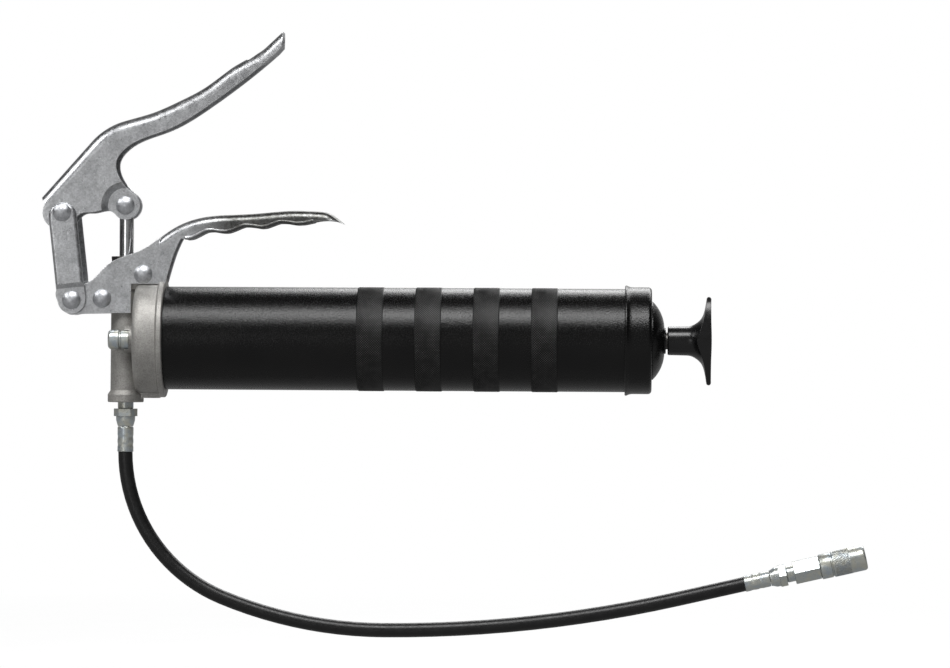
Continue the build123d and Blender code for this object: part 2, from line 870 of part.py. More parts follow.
def make_rod_and_handle():
    stud_start_x = 11.9
    save(revolved_along_x([
        (stud_start_x, 0),
        (stud_start_x, rod_stud_r - 0.5),
        (stud_start_x + 0.5, rod_stud_r),
        (rod_shoulder_x, rod_stud_r),
        (rod_shoulder_x, rod_r),
        (rod_end_x, rod_r),
        (rod_end_x, 0),
    ]), "follower_rod")
    with BuildPart() as handle:
        with BuildSketch(Plane.XZ):
            with BuildLine():
                Polyline(
                    (rod_end_x, 0),
                    (rod_end_x, rod_r),
                    (handle_x, rod_r),
                    (handle_x, handle_neck_r - 0.5),
                    (handle_x + 0.5, handle_neck_r),
                    (handle_x + 11.0, handle_neck_r + 0.2),
                )
                Spline(
                    (handle_x + 11.0, handle_neck_r + 0.2),
                    (316.6, 9.8),
                    (319.6, 12.7),
                    (321.4, 17.6),
                    (322.4, handle_reach - 1.2),
                    tangents=[(1, 0.05), (0.15, 1)],
                )
                ThreePointArc(
                    (322.4, handle_reach - 1.2),
                    (323.9, handle_reach),
                    (handle_face_x - 0.1, handle_reach - 1.6),
                )
                Spline(
                    (handle_face_x - 0.1, handle_reach - 1.6),
                    (handle_face_x, 12.0),
                    (handle_face_x + 0.4, 0),
                    tangents=[(-0.02, -1), (0, -1)],
                )
                Line((handle_face_x + 0.4, 0), (rod_end_x, 0))
            make_face()
        revolve(axis=Axis.X)
        # an oval as seen along the rod: tall and narrow
        with BuildSketch(Plane.YZ.offset(handle_x - 1)):
            Ellipse(x_radius=handle_half_width, y_radius=handle_reach + 0.5)
            Circle(handle_half_width)
        extrude(amount=handle_face_x + 3 - handle_x, mode=Mode.INTERSECT)
    save(handle.part, "t_handle")


def make_follower():
    stud_clear_r = rod_stud_r + 0.05
    save(revolved_along_x([
        (follower_face_x, stud_clear_r),
        (follower_face_x, follower_r - 0.6),
        (follower_face_x + 0.6, follower_r),
        (seal_lip_x, follower_r),
        (seal_lip_x, follower_r - 1.0),
        (cup_seal_x + 1.0, follower_r - 2.6),
        (cup_seal_x, follower_r - 3.6),
        (cup_seal_x, stud_clear_r),
    ]), "follower_cup")
    save(ring(Plane.YZ.offset(follower_face_x - 1.2), 20.0, stud_clear_r, 1.2), "follower_plate")
    save(revolved_along_x([
        (cup_seal_x, stud_clear_r),
        (cup_seal_x, 23.0),
        (cup_seal_x + 1.6, 23.0),
        (cup_seal_x + 1.6, stud_clear_r),
    ]), "follower_washer")
    with BuildPart() as nut:
        with BuildSketch(Plane.YZ.offset(follower_face_x - 4.6)):
            RegularPolygon(radius=6.3, side_count=6)
            Circle(rod_stud_r, mode=Mode.SUBTRACT)
        extrude(amount=3.3)
    save(nut.part, "rod_nut")
    wire_r = 1.1
    start_x = cup_seal_x + 1.7 + wire_r
    save(coil(Plane.YZ.offset(start_x), 20.5, wire_r, long_spring_end_x - start_x, 13), "follower_spring")


# ---------------------------------------------------------------- hose and coupler
def coupler_direction():
    return (cos(radians(hose_angle)), 0, sin(radians(hose_angle)))


def coupler_point(distance):
    """A point on the coupler axis, measured from where the hose meets the far ferrule."""
    x_step, _, z_step = coupler_direction()
    return (hose_end[0] + distance * x_step, 0, hose_end[1] + distance * z_step)


def coupler_plane(distance):
    """A plane across the coupler axis, facing the tip."""
    return Plane(origin=coupler_point(distance), x_dir=(0, 1, 0), z_dir=coupler_direction())


def turned_on_coupler(points):
    """A solid turned about the coupler axis from (distance, radius) points."""
    side = Plane(origin=coupler_point(0), x_dir=coupler_direction(), z_dir=(0, -1, 0))
    with BuildPart() as body:
        with BuildSketch(side):
            with BuildLine():
                Polyline(*points, close=True)
            make_face()
        revolve(axis=Axis(coupler_point(0), coupler_direction()))
    return body.part


def make_hose():
    x_step, _, z_step = coupler_direction()
    with BuildLine(Plane.XZ) as route:
        Line((0, hose_top_z), (0, ferrule_end_z))
        x, z = 0, ferrule_end_z
        heading = radians(-90)
        for bend_r, turn in hose_bends:
            centre = (x - bend_r * sin(heading), z + bend_r * cos(heading))
            CenterArc(centre, bend_r, degrees(heading) - 90, turn)
            heading += radians(turn)
            x = centre[0] + bend_r * sin(heading)
            z = centre[1] - bend_r * cos(heading)
        straight = hypot(hose_end[0] - x, hose_end[1] - z) + hose_tail
        Line((x, z), (x + straight * x_step, z + straight * z_step))
    mouth = Plane(origin=(0, 0, hose_top_z), x_dir=(1, 0, 0), z_dir=(0, 0, -1))
    with BuildPart() as hose:
        with BuildSketch(mouth):
            Circle(hose_r)
        sweep(path=route.wire())
        with BuildSketch(mouth):
            Circle(hose_bore_r)
        sweep(path=route.wire(), mode=Mode.SUBTRACT)
    save(hose.part, "hose")


def make_head_end():
    """Threaded stem with its hex, and the crimped ferrule over the hose, below the outlet."""
    hex_top_z = -39.4
    hex_bottom_z = -43.6
    neck_bottom_z = -49.4
    bore_r = 1.3
    with BuildPart() as stem:
        with BuildSketch(Plane.XZ):
            with BuildLine():
                Polyline(
                    (bore_r, outlet_thread_top_z - 0.2),
                    (outlet_thread_r - 0.5, outlet_thread_top_z - 0.2),
                    (outlet_thread_r - 0.05, outlet_thread_top_z - 0.7),
                    (outlet_thread_r - 0.05, hex_top_z + 0.4),
                    (outlet_thread_r - 0.5, hex_top_z),
                    (outlet_thread_r - 0.5, hex_bottom_z),
                    (5.35, hex_bottom_z),
                    (5.2, hex_bottom_z - 2.4),
                    (4.5, neck_bottom_z + 0.9),
                    (4.2, neck_bottom_z + 0.2),
                    (hose_bore_r - 0.1, neck_bottom_z + 0.2),
                    (hose_bore_r - 0.1, ferrule_end_z + 1.0),
                    (bore_r, ferrule_end_z + 1.0),
                    close=True,
                )
            make_face()
        revolve(axis=Axis.Z)
        with BuildSketch(Plane.XY.offset(hex_bottom_z)):
            RegularPolygon(radius=head_hex_across / sqrt(3), side_count=6)
            Circle(bore_r, mode=Mode.SUBTRACT)
        extrude(amount=hex_top_z - hex_bottom_z)
    save(stem.part, "hose_stem")
    ferrule_length = neck_bottom_z - ferrule_end_z
    save(ring(Plane.XY.offset(ferrule_end_z), ferrule_r, hose_r, ferrule_length), "head_ferrule")


def make_coupler_end():
    bore_r = 1.3
    save(ring(coupler_plane(0), ferrule_r, hose_r, coupler_ferrule_end - 0.2), "coupler_ferrule")

    stem_thread_r = 4.5
    stem = turned_on_coupler([
        (1.0, bore_r),
        (1.0, hose_bore_r - 0.1),
        (coupler_ferrule_end, hose_bore_r - 0.1),
        (coupler_ferrule_end, 4.3),
        (coupler_ferrule_end + 1.0, 4.6),
        (coupler_neck_end - 2.2, 5.4),
        (coupler_neck_end, 5.5),
        (coupler_hex_end, stem_thread_r - 0.5),
        (coupler_hex_end + 0.6, stem_thread_r),
        (coupler_thread_end - 0.5, stem_thread_r),
        (coupler_thread_end, stem_thread_r - 0.5),
        (coupler_thread_end, bore_r),
    ])
    with BuildPart() as stem_part:
        add(stem)
        with BuildSketch(coupler_plane(coupler_neck_end)):
            RegularPolygon(radius=6.75, side_count=6)
            Circle(bore_r, mode=Mode.SUBTRACT)
        extrude(amount=coupler_hex_end - coupler_neck_end)
    save(stem_part.part, "coupler_stem")

    ball_r = 2.0
    ball_chamber_r = 2.9
    valve_seat = 37.6
    with BuildPart() as body:
        with BuildSketch(coupler_plane(body_start)):
            RegularPolygon(radius=7.1, side_count=6)
        extrude(amount=body_hex_end - body_start)
        with BuildSketch(coupler_plane(body_hex_end)):
            Circle(spigot_r)
        extrude(amount=spigot_end - body_hex_end)
        with BuildSketch(coupler_plane(body_start)):
            Circle(stem_thread_r + 0.02)
        extrude(amount=coupler_thread_end - body_start + 0.1, mode=Mode.SUBTRACT)
        with BuildSketch(coupler_plane(body_start)):
            Circle(bore_r)
        extrude(amount=spigot_end - body_start, mode=Mode.SUBTRACT)
        with BuildSketch(coupler_plane(valve_seat)):
            Circle(ball_chamber_r)
        extrude(amount=spigot_end - valve_seat, mode=Mode.SUBTRACT)
    save(body.part, "coupler_body")

    ball_place = valve_seat + sqrt(ball_r**2 - bore_r**2)
    with BuildPart() as ball:
        with Locations(coupler_point(ball_place)):
            Sphere(ball_r)
    save(ball.part, "coupler_ball")

    seal_start = 53.0
    wire_r = 0.35
    mean_r = 1.9
    spring_start = ball_place + sqrt((ball_r + wire_r) ** 2 - mean_r**2) + 0.05
    spring_height = seal_start - wire_r - 0.05 - spring_start
    save(coil(coupler_plane(spring_start), mean_r, wire_r, spring_height, 6), "coupler_spring")
    save(ring(coupler_plane(seal_start), 4.1, 1.2, jaw_grip_start - 0.2 - seal_start), "coupler_seal")

    clearance = 0.12
    save(turned_on_coupler([
        (sleeve_start, spigot_r + 0.06),
        (sleeve_start, sleeve_r - 0.5),
        (sleeve_start + 0.5, sleeve_r),
        (sleeve_end - 0.7, sleeve_r),
        (sleeve_end, sleeve_r - 0.7),
        (sleeve_end, 5.15),
        (jaw_end + 0.1, 5.15),
        (jaw_taper, 5.95 + clearance),
        (spigot_end + 0.6, 5.95 + clearance),
        (spigot_end + 0.6, spigot_r + 0.06),
    ]), "coupler_sleeve")

    with BuildPart() as jaws:
        add(turned_on_coupler([
            (jaw_start, 4.3),
            (jaw_start, 5.95),
            (jaw_taper, 5.95),
            (jaw_end, 5.0),
            (jaw_end, jaw_grip_r),
            (jaw_grip_start, jaw_grip_r),
            (jaw_grip_start, 4.3),
        ]))
        with BuildSketch(coupler_plane(jaw_start)):
            Rectangle(jaw_slot, 4 * sleeve_r)
            Rectangle(4 * sleeve_r, jaw_slot)
        extrude(amount=jaw_end - jaw_start, mode=Mode.SUBTRACT)
    save(Compound(children=list(jaws.part.solids())), "coupler_jaws")


make_head()
make_gland_nut()
make_plunger()
make_pump_small_parts()
make_outlet_valve()
make_filler()
make_grip()
make_rivets()
make_link()
make_lever()
make_barrel()
make_end_cap()
make_rod_and_handle()
make_follower()
make_hose()
make_head_end()
make_coupler_end()
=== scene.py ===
import json
from math import cos, hypot, pi, radians, sin

import bmesh
import bpy
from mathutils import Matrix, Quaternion, Vector

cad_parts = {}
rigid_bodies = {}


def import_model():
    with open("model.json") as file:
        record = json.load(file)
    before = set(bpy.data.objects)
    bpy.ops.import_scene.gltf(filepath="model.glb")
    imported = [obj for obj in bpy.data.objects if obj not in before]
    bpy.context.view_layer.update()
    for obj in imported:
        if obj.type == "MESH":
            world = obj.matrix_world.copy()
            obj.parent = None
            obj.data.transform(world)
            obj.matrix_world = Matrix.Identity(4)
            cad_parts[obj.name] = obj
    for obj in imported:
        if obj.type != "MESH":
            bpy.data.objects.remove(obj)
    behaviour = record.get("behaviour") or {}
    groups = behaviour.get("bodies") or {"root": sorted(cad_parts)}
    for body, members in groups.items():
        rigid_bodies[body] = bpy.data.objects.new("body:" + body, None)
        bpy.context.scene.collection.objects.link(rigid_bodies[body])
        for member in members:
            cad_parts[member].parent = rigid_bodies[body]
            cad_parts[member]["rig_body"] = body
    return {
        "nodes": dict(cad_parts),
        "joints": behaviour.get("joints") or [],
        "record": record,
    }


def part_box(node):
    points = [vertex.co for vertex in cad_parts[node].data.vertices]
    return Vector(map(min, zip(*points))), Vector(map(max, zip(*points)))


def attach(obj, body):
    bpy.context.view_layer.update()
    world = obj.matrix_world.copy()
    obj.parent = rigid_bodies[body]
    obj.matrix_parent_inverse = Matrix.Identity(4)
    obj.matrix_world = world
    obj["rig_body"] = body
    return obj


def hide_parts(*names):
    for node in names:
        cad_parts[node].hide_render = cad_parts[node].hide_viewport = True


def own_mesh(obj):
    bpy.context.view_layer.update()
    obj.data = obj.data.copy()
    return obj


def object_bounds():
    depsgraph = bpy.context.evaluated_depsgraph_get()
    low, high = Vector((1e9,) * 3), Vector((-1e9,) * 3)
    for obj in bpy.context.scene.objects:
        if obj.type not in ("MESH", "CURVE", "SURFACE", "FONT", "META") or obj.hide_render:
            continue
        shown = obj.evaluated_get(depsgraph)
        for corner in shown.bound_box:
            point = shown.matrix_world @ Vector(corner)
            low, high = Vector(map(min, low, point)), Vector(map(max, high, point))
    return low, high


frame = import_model()
cad_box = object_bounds()
MM = 0.001
floor_in_reflections = 0.36  # brightness of the floor in every ray but the camera's
same_point = 1e-7  # vertices closer than this are one
sharp_angle = radians(38)  # edges steeper than this stay sharp
floor_drop = 0.038  # from the object's lowest point to the floor
floor_middle_x = 0.18


# ---------------------------------------------------------------- material helpers
class Nodes:
    """A material's node tree with short calls for the nodes that this scene uses."""

    def __init__(self, name):
        self.material = bpy.data.materials.new(name)
        self.material.use_nodes = True
        self.tree = self.material.node_tree
        self.shader = self.tree.nodes["Principled BSDF"]
        coords = self.tree.nodes.new("ShaderNodeTexCoord")
        self.place = coords.outputs["Object"]

    def link(self, source, target):
        self.tree.links.new(source, target)

    def scaled(self, x, y, z, turn=(0, 0, 0)):
        """The object coordinates turned, then stretched by (x, y, z)."""
        node = self.tree.nodes.new("ShaderNodeMapping")
        node.inputs["Scale"].default_value = (x, y, z)
        node.inputs["Rotation"].default_value = turn
        self.link(self.place, node.inputs["Vector"])
        return node.outputs["Vector"]

    def noise(self, size_mm, detail=3.0, rough=0.55, place=None):
        node = self.tree.nodes.new("ShaderNodeTexNoise")
        node.inputs["Scale"].default_value = 1000.0 / size_mm
        node.inputs["Detail"].default_value = detail
        node.inputs["Roughness"].default_value = rough
        self.link(place or self.place, node.inputs["Vector"])
        return node.outputs["Fac"]

    def cells(self, size_mm, place=None):
        node = self.tree.nodes.new("ShaderNodeTexVoronoi")
        node.inputs["Scale"].default_value = 1000.0 / size_mm
        self.link(place or self.place, node.inputs["Vector"])
        return node.outputs["Distance"]

    def ramp(self, value, low, high, low_at=0.0, high_at=1.0):
        """Maps a value to a grey or a colour between two stops."""
        node = self.tree.nodes.new("ShaderNodeValToRGB")
        node.color_ramp.elements[0].position = low_at
        node.color_ramp.elements[1].position = high_at
        node.color_ramp.elements[0].color = as_colour(low)
        node.color_ramp.elements[1].color = as_colour(high)
        self.link(value, node.inputs["Fac"])
        return node.outputs["Color"]

    def mix(self, share, first, second, mode="MIX"):
        node = self.tree.nodes.new("ShaderNodeMix")
        node.data_type = "RGBA"
        node.blend_type = mode
        node.clamp_factor = True
        if isinstance(share, float):
            node.inputs["Factor"].default_value = share
        else:
            self.link(share, node.inputs["Factor"])
        for value, socket in ((first, node.inputs["A"]), (second, node.inputs["B"])):
            if isinstance(value, (tuple, float)):
                socket.default_value = as_colour(value)
            else:
                self.link(value, socket)
        return node.outputs["Result"]

    def math(self, operation, first, second=0.0, third=None):
        node = self.tree.nodes.new("ShaderNodeMath")
        node.operation = operation
        for index, value in enumerate((first, second, third)):
            if value is None:
                continue
            if isinstance(value, (int, float)):
                node.inputs[index].default_value = value
            else:
                self.link(value, node.inputs[index])
        return node.outputs["Value"]

    def edges(self, radius_mm):
        """1 on sharp edges and 0 on flat stretches, from a bevelled normal."""
        bevel = self.tree.nodes.new("ShaderNodeBevel")
        bevel.samples = 4
        bevel.inputs["Radius"].default_value = radius_mm * MM
        geometry = self.tree.nodes.new("ShaderNodeNewGeometry")
        dot = self.tree.nodes.new("ShaderNodeVectorMath")
        dot.operation = "DOT_PRODUCT"
        self.link(bevel.outputs["Normal"], dot.inputs[0])
        self.link(geometry.outputs["Normal"], dot.inputs[1])
        return self.ramp(dot.outputs["Value"], 1.0, 0.0, 0.80, 0.985)

    def finish(self, colour, metallic, roughness, bumps=(), soft_edge_mm=0.25):
        """Connects the shader. bumps is a list of (height value, depth in mm)."""
        self.set_input("Base Color", colour)
        self.set_input("Metallic", metallic)
        self.set_input("Roughness", roughness)
        normal = None
        if soft_edge_mm:
            bevel = self.tree.nodes.new("ShaderNodeBevel")
            bevel.samples = 4
            bevel.inputs["Radius"].default_value = soft_edge_mm * MM
            normal = bevel.outputs["Normal"]
        for height, depth_mm in bumps:
            bump = self.tree.nodes.new("ShaderNodeBump")
            bump.inputs["Strength"].default_value = 1.0
            bump.inputs["Distance"].default_value = depth_mm * MM
            self.link(height, bump.inputs["Height"])
            if normal:
                self.link(normal, bump.inputs["Normal"])
            normal = bump.outputs["Normal"]
        if normal:
            self.link(normal, self.shader.inputs["Normal"])
        return self.material

    def set_input(self, name, value):
        socket = self.shader.inputs[name]
        if isinstance(value, (int, float)):
            socket.default_value = value
        elif isinstance(value, tuple):
            socket.default_value = as_colour(value)
        else:
            self.link(value, socket)


def as_colour(value):
    """A grey level or an (r, g, b) as the four numbers that a socket wants."""
    if isinstance(value, (int, float)):
        return (value, value, value, 1.0)
    return (value[0], value[1], value[2], 1.0)


# ---------------------------------------------------------------- materials
def stamped_zinc(name, shade_from=None):
    """Zinc-plated sheet steel: satin mottled grey with stains, specks, scratches, and a painted highlight
    along the edges.

    Beyond a given start along X the plating is darkened by painted shade, with a mottle.
    """
    shade_fade = 25 * MM
    n = Nodes(name)
    clouds = n.ramp(n.noise(9.0, 5.0, 0.65), (0.50, 0.507, 0.52), (0.69, 0.70, 0.715), 0.32, 0.70)
    grain = n.ramp(n.noise(1.0, 3.0, 0.7), 0.70, 1.0, 0.36, 0.64)
    colour = n.mix(1.0, clouds, grain, "MULTIPLY")
    stains = n.ramp(n.noise(5.5, 4.0, 0.65), 0.0, 0.40, 0.55, 0.72)
    colour = n.mix(stains, colour, (0.20, 0.205, 0.215))
    specks = n.ramp(n.cells(2.1), 0.75, 0.0, 0.04, 0.10)
    colour = n.mix(specks, colour, (0.74, 0.75, 0.76))
    along_scratches = n.scaled(1.0, 1.0, 0.07, (0, radians(35), 0))
    scratches = n.ramp(n.noise(0.5, 2.0, 0.5, along_scratches), 0.0, 0.5, 0.66, 0.74)
    colour = n.mix(scratches, colour, (0.66, 0.67, 0.68))
    # painted shade: beyond the start along X the colour is darkened, mottled by noise
    if shade_from:
        parts = n.tree.nodes.new("ShaderNodeSeparateXYZ")
        n.link(n.place, parts.inputs[0])
        share = n.math("MULTIPLY_ADD", parts.outputs["X"], 1 / shade_fade, -shade_from / shade_fade)
        shade_light_end = (0.34, 0.34, 0.33)
        shade_dark_end = (0.13, 0.125, 0.108)
        grime_and_painted_shade = n.ramp(n.noise(1.5, 4.0, 0.75), shade_dark_end, shade_light_end, 0.34, 0.66)
        shaded_colour = n.mix(1.0, colour, grime_and_painted_shade, "MULTIPLY")
        colour = n.mix(n.ramp(share, 0.0, 1.0), colour, shaded_colour)
    # painted highlight: sharp edges lightened to a near white
    colour = n.mix(n.edges(0.9), colour, (0.90, 0.91, 0.92))
    rough = n.ramp(n.noise(2.2, 4.0, 0.7), 0.25, 0.44, 0.3, 0.7)
    fine = n.noise(0.45, 2.0, 0.6)
    broad = n.noise(5.0, 3.0, 0.5)
    return n.finish(colour, 1.0, rough, [(broad, 0.08), (fine, 0.006)], 0.5)


def domed_rivet():
    """Bright zinc rivet heads with small upset marks."""
    n = Nodes("domed_rivet")
    colour = n.ramp(n.noise(1.6, 4.0, 0.65), (0.36, 0.37, 0.39), (0.60, 0.61, 0.63), 0.3, 0.65)
    colour = n.mix(n.edges(0.4), colour, (0.82, 0.83, 0.84))
    rough = n.ramp(n.noise(0.9, 3.0, 0.6), 0.36, 0.50, 0.3, 0.7)
    return n.finish(colour, 1.0, rough, [(n.noise(1.6, 2.0, 0.5), 0.035)], 0.3)


def die_cast():
    """As-cast zinc alloy: matte warm grey with a fine grain and faint flow marks."""
    n = Nodes("die_cast")
    flow = n.ramp(n.noise(11.0, 4.0, 0.6), (0.36, 0.35, 0.332), (0.50, 0.488, 0.465), 0.3, 0.7)
    grain = n.ramp(n.noise(0.6, 3.0, 0.8), 0.58, 1.0, 0.34, 0.64)
    colour = n.mix(1.0, flow, grain, "MULTIPLY")
    colour = n.mix(n.edges(0.6), colour, (0.62, 0.61, 0.585))
    rough = n.ramp(n.noise(1.6, 3.0, 0.6), 0.46, 0.62, 0.3, 0.7)
    return n.finish(colour, 0.65, rough, [(n.noise(0.7, 3.0, 0.7), 0.07)], 0.5)


def powder_coat():
    """Semi-gloss black powder coat with its fine orange-peel grain."""
    n = Nodes("powder_coat")
    dark = (0.0012, 0.0012, 0.0013)
    light = (0.0028, 0.0027, 0.0026)
    colour = n.ramp(n.noise(22.0, 3.0, 0.5), dark, light, 0.35, 0.7)
    rough = n.ramp(n.noise(0.6, 2.0, 0.6), 0.17, 0.32, 0.35, 0.65)
    grain = n.noise(0.62, 1.0, 0.5)
    material = n.finish(colour, 0.0, rough, [(grain, 0.13)], 0.0)
    n.shader.inputs["Specular IOR Level"].default_value = 0.28
    return material


def knurled_coat():
    """The same black coat over knurling, with a painted highlight in grey on the crowns of the ridges."""
    n = Nodes("knurled_coat")
    rise = n.tree.nodes.new("ShaderNodeAttribute")
    rise.attribute_name = "rise"
    # painted highlight: the crowns of the ridges are grey, with a random tone, while the grooves keep the
    # black coat
    crown_highlight_share = n.ramp(rise.outputs["Fac"], 0.0, 1.0, 0.62, 0.95)
    wear_and_crown_highlight = n.ramp(n.noise(5.0, 4.0, 0.6), (0.07, 0.07, 0.07), (0.17, 0.17, 0.168), 0.35, 0.65)
    colour = n.mix(crown_highlight_share, (0.0015, 0.0015, 0.0015), wear_and_crown_highlight)
    rough = n.ramp(n.noise(1.2, 3.0, 0.6), 0.30, 0.42, 0.3, 0.7)
    material = n.finish(colour, 0.0, rough, [(n.noise(0.6, 2.0, 0.5), 0.01)], 0.0)
    n.shader.inputs["Specular IOR Level"].default_value = 0.22
    return material


def gloss_black():
    """Gloss black enamel with a slightly uneven surface."""
    n = Nodes("gloss_black")
    dark = (0.003, 0.003, 0.0032)
    light = (0.006, 0.006, 0.0062)
    colour = n.ramp(n.noise(8.0, 3.0, 0.5), dark, light, 0.35, 0.7)
    rough = n.ramp(n.noise(2.5, 4.0, 0.6), 0.20, 0.32, 0.3, 0.7)
    material = n.finish(colour, 0.0, rough, [(n.noise(1.8, 2.0, 0.5), 0.012)], 0.5)
    n.shader.inputs["Specular IOR Level"].default_value = 0.42
    return material


def hose_rubber():
    """Satin black rubber with a fine grain and dull scuffs."""
    n = Nodes("hose_rubber")
    dark = (0.004, 0.004, 0.0042)
    light = (0.009, 0.009, 0.0092)
    colour = n.ramp(n.noise(6.0, 4.0, 0.6), dark, light, 0.3, 0.7)
    scuffs = n.ramp(n.noise(2.2, 5.0, 0.75), 0.0, 0.35, 0.62, 0.72)
    colour = n.mix(scuffs, colour, (0.018, 0.018, 0.019))
    rough = n.ramp(n.noise(1.5, 3.0, 0.6), 0.30, 0.46, 0.3, 0.7)
    material = n.finish(colour, 0.0, rough, [(n.noise(0.7, 2.0, 0.6), 0.03)], 0.0)
    n.shader.inputs["Specular IOR Level"].default_value = 0.38
    return material


def bright_zinc():
    """Bright zinc plate with a faint yellow and blue tint, grime and dark edges."""
    n = Nodes("bright_zinc")
    tint = n.ramp(n.noise(4.5, 3.0, 0.5), (0.44, 0.49, 0.525), (0.55, 0.55, 0.485), 0.35, 0.65)
    grime_and_painted_shade = n.ramp(n.noise(1.4, 4.0, 0.7), 0.0, 0.45, 0.56, 0.70)
    colour = n.mix(grime_and_painted_shade, tint, (0.30, 0.30, 0.28))
    colour = n.mix(n.edges(0.35), colour, (0.20, 0.205, 0.21))
    rough = n.ramp(n.noise(1.1, 3.0, 0.65), 0.26, 0.40, 0.3, 0.7)
    return n.finish(colour, 0.72, rough, [(n.noise(0.9, 2.0, 0.6), 0.012)], 0.25)


def polished_rod():
    """Ground and polished steel with fine marks round the rod."""
    n = Nodes("polished_rod")
    rings = n.noise(0.35, 2.0, 0.6, n.scaled(0.06, 0.06, 1.0))
    colour = n.ramp(n.noise(5.0, 3.0, 0.6), (0.60, 0.60, 0.61), (0.76, 0.76, 0.77), 0.3, 0.7)
    rough = n.ramp(rings, 0.10, 0.24, 0.3, 0.7)
    return n.finish(colour, 1.0, rough, [(rings, 0.004)], 0.3)


def dark_steel():
    """Blackened turned steel with oil stains."""
    n = Nodes("dark_steel")
    colour = n.ramp(n.noise(2.5, 4.0, 0.6), (0.055, 0.053, 0.05), (0.14, 0.135, 0.13), 0.3, 0.7)
    colour = n.mix(n.edges(0.4), colour, (0.30, 0.29, 0.28))
    rough = n.ramp(n.noise(1.2, 3.0, 0.6), 0.32, 0.52, 0.3, 0.7)
    return n.finish(colour, 0.9, rough, [(n.noise(0.6, 2.0, 0.6), 0.02)], 0.3)


def spring_wire():
    """Oiled spring wire with drawing marks."""
    n = Nodes("spring_wire")
    colour = n.ramp(n.noise(1.8, 4.0, 0.6), (0.13, 0.13, 0.135), (0.32, 0.32, 0.33), 0.3, 0.7)
    rough = n.ramp(n.noise(0.7, 3.0, 0.6), 0.24, 0.42, 0.3, 0.7)
    return n.finish(colour, 1.0, rough, [(n.noise(0.4, 2.0, 0.6), 0.01)], 0.0)


def bearing_ball():
    """Polished bearing steel with faint scratches."""
    n = Nodes("bearing_ball")
    colour = n.ramp(n.noise(1.5, 3.0, 0.5), (0.62, 0.62, 0.63), (0.78, 0.78, 0.79), 0.3, 0.7)
    rough = n.ramp(n.noise(0.6, 3.0, 0.6), 0.06, 0.16, 0.3, 0.7)
    return n.finish(colour, 1.0, rough, [(n.noise(0.4, 2.0, 0.6), 0.002)], 0.0)


def seal_rubber():
    """Matte nitrile rubber with a bloom of wear."""
    n = Nodes("seal_rubber")
    colour = n.ramp(n.noise(4.0, 4.0, 0.6), (0.012, 0.012, 0.012), (0.035, 0.034, 0.033), 0.3, 0.7)
    rough = n.ramp(n.noise(1.6, 3.0, 0.6), 0.55, 0.75, 0.3, 0.7)
    return n.finish(colour, 0.0, rough, [(n.noise(0.7, 2.0, 0.6), 0.03)], 0.3)


materials = {
    "zinc_stamping": stamped_zinc("stamped_zinc"),
    "grip_zinc_painted_shade": stamped_zinc("grip_zinc_painted_shade", shade_from=34 * MM),
    "zinc_rivet": domed_rivet(),
    "die_cast": die_cast(),
    "powder_coat": powder_coat(),
    "gloss_black": gloss_black(),
    "hose_rubber": hose_rubber(),
    "bright_zinc": bright_zinc(),
    "polished_steel": polished_rod(),
    "dark_steel": dark_steel(),
    "spring_steel": spring_wire(),
    "ball_steel": bearing_ball(),
    "seal_rubber": seal_rubber(),
    "knurled_coat": knurled_coat(),
}

# every CAD node takes the material of its slot in the record
for entry in frame["record"]["subparts"]:
    node_object = frame["nodes"][entry["node"]]
    node_object.data.materials.clear()
    node_object.data.materials.append(materials[entry["material_slot"]])
# the rod takes the dark steel, and the grip's handle a zinc darkened by painted shade
frame["nodes"]["follower_rod"].data.materials[0] = materials["dark_steel"]
frame["nodes"]["grip"].data.materials[0] = materials["grip_zinc_painted_shade"]


# ---------------------------------------------------------------- mesh helpers
def new_piece(name, points, faces, material, body):
    """A smooth mesh object in the row frame that rides on a body."""
    mesh = bpy.data.meshes.new(name)
    mesh.from_pydata(points, [], faces)
    mesh.materials.append(materials[material])
    piece = bpy.data.objects.new(name, mesh)
    bpy.context.scene.collection.objects.link(piece)
    builder = bmesh.new()
    builder.from_mesh(mesh)
    bmesh.ops.remove_doubles(builder, verts=builder.verts, dist=same_point)
    bmesh.ops.recalc_face_normals(builder, faces=builder.faces)
    builder.to_mesh(mesh)
    builder.free()
    mesh.shade_smooth()
    mesh.set_sharp_from_angle(angle=sharp_angle)
    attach(piece, body)
    return piece


def cross_axes(axis):
    """Two unit vectors across an axis."""
    axis = Vector(axis).normalized()
    helper = Vector((0, 1, 0)) if abs(axis.y) < 0.9 else Vector((1, 0, 0))
    first = axis.cross(helper).normalized()
    return axis, first, axis.cross(first)


def turned(profile, origin, axis, segments, height=None):
    """Points and faces of a closed profile of (distance, radius) turned about an axis.

    height(along, angle, radius) may return another radius, for knurls, flats and crimps.
    """
    axis, first, second = cross_axes(axis)
    points = []
    faces = []
    count = len(profile)
    for step in range(segments):
        angle = 2 * pi * step / segments
        outward = first * cos(angle) + second * sin(angle)
        for along, radius in profile:
            if height:
                radius = height(along, angle, radius)
            points.append(Vector(origin) + axis * along + outward * radius)
    for step in range(segments):
        following = (step + 1) % segments
        for index in range(count):
            after = (index + 1) % count
            faces.append((
                step * count + index,
                step * count + after,
                following * count + after,
                following * count + index,
            ))
    return points, faces


def smooth_line(knots, steps):
    """A curve through the knots with a number of steps between each pair."""
    line = []
    last = len(knots) - 1
    for index in range(last):
        before = knots[max(index - 1, 0)]
        start = knots[index]
        end = knots[index + 1]
        after = knots[min(index + 2, last)]
        for step in range(steps):
            t = step / steps
            curve = 2 * start + (end - before) * t
            curve += (2 * before - 5 * start + 4 * end - after) * t * t
            curve += (3 * start - before - 3 * end + after) * t ** 3
            line.append(curve / 2)
    line.append(knots[last])
    return line


